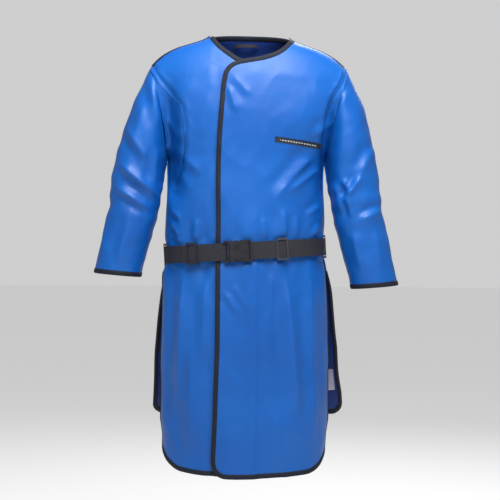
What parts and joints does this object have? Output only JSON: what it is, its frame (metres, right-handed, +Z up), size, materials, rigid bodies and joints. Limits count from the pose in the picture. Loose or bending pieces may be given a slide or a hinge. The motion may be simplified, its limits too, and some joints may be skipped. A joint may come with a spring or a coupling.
{
  "type": "lead apron",
  "caption": "Sleeved front-closing X-ray protective coat with three-layer panels, bound edges, a shorter back skirt and a webbing belt with a side-release buckle.",
  "frame": {"origin": "middle of the neck opening, at the height where the shoulders meet the neck", "axes": "+Z up along the wearer's spine, -Y to the front, +X to the wearer's left"},
  "size_m": [0.7146, 0.2611, 1.0385],
  "materials": {
    "blue_cover": "glossy coated fabric",
    "lead_rubber": "matte",
    "dark_lining": "satin",
    "binding_tape": "woven",
    "hook_and_loop": "napped",
    "name_tape": "woven",
    "size_label": "satin",
    "webbing": "woven",
    "buckle_plastic": "fine texture",
    "grey_plastic": "fine texture"
  },
  "bodies": {
    "coat": {"right_front_cover": "blue_cover", "right_front_lead": "lead_rubber", "right_front_lining": "dark_lining", "left_front_cover": "blue_cover", "left_front_lead": "lead_rubber", "left_front_lining": "dark_lining", "back_cover": "blue_cover", "back_lead": "lead_rubber", "back_lining": "dark_lining", "right_front_binding": "binding_tape", "left_front_binding": "binding_tape", "back_neck_binding": "binding_tape", "shoulder_tape_left": "binding_tape", "shoulder_tape_right": "binding_tape", "loop_strip_upper": "hook_and_loop", "loop_strip_lower": "hook_and_loop", "name_tape": "name_tape", "hanger_loop": "webbing", "belt_webbing": "webbing", "belt_loop_left": "webbing", "belt_loop_back": "webbing", "belt_loop_right": "webbing", "buckle_socket": "buckle_plastic", "socket_strap": "webbing"},
    "lapel": {"lapel_cover": "blue_cover", "lapel_lead": "lead_rubber", "lapel_lining": "dark_lining", "lapel_binding": "binding_tape", "hook_strip_upper": "hook_and_loop"},
    "skirt_flap": {"skirt_flap_cover": "blue_cover", "skirt_flap_lead": "lead_rubber", "skirt_flap_lining": "dark_lining", "skirt_flap_binding": "binding_tape", "hook_strip_lower": "hook_and_loop"},
    "back_skirt": {"back_skirt_cover": "blue_cover", "back_skirt_lead": "lead_rubber", "back_skirt_lining": "dark_lining", "back_skirt_binding": "binding_tape", "size_label": "size_label"},
    "right_sleeve": {"right_sleeve_cover": "blue_cover", "right_sleeve_lead": "lead_rubber", "right_sleeve_lining": "dark_lining", "right_sleeve_cuff_binding": "binding_tape"},
    "left_sleeve": {"left_sleeve_cover": "blue_cover", "left_sleeve_lead": "lead_rubber", "left_sleeve_lining": "dark_lining", "left_sleeve_cuff_binding": "binding_tape"},
    "plug": {"buckle_plug": "buckle_plastic", "plug_strap": "webbing"},
    "prong_upper": {"buckle_prong_upper": "buckle_plastic"},
    "prong_lower": {"buckle_prong_lower": "buckle_plastic"},
    "adjuster_right": {"strap_adjuster_right": "buckle_plastic"},
    "adjuster_left": {"strap_adjuster_left": "grey_plastic"}
  },
  "joints": [
    {"name": "lapel_fold", "type": "hinge", "parent": "coat", "child": "lapel", "pos_m": [-0.06, -0.1222, -0.462], "axis": [0.2247, 0, 0.9744], "range_deg": [0, 110]},
    {"name": "skirt_flap_fold", "type": "hinge", "parent": "coat", "child": "skirt_flap", "pos_m": [0.095, -0.1222, -1.025], "axis": [-0.3144, 0, 0.9493], "range_deg": [0, 60]},
    {"name": "back_skirt_swing", "type": "hinge", "parent": "coat", "child": "back_skirt", "pos_m": [0, 0.095, -0.53], "axis": [1, 0, 0], "range_deg": [0, 20]},
    {"name": "right_sleeve_raise", "type": "hinge", "parent": "coat", "child": "right_sleeve", "pos_m": [-0.232, 0, -0.07], "axis": [0, 1, 0], "range_deg": [0, 60]},
    {"name": "left_sleeve_raise", "type": "hinge", "parent": "coat", "child": "left_sleeve", "pos_m": [0.232, 0, -0.07], "axis": [0, -1, 0], "range_deg": [0, 60]},
    {"name": "buckle_release", "type": "hinge", "parent": "coat", "child": "plug", "pos_m": [0, 0.157, -0.5], "axis": [0.0593, 0, -0.9982], "range_deg": [0, 9.2]},
    {"name": "prong_upper_press", "type": "hinge", "parent": "plug", "child": "prong_upper", "pos_m": [-0.03692, -0.1285, -0.48566], "axis": [0, 1, 0], "range_deg": [0, 8.2]},
    {"name": "prong_lower_press", "type": "hinge", "parent": "plug", "child": "prong_lower", "pos_m": [-0.03496, -0.1285, -0.51861], "axis": [0, -1, 0], "range_deg": [0, 8.2]},
    {"name": "right_adjuster_slide", "type": "hinge", "parent": "coat", "child": "adjuster_right", "pos_m": [0, 0.157, -0.5], "axis": [-0.0593, 0, 0.9982], "range_deg": [-3, 2]},
    {"name": "left_adjuster_slide", "type": "hinge", "parent": "coat", "child": "adjuster_left", "pos_m": [0, 0.157, -0.5], "axis": [-0.0593, 0, 0.9982], "range_deg": [-4, 4]}
  ],
  "couplings": [
    {"joint": "prong_upper_press", "follows": "buckle_release", "ratio": 0.87},
    {"joint": "prong_lower_press", "follows": "buckle_release", "ratio": 0.87}
  ]
}
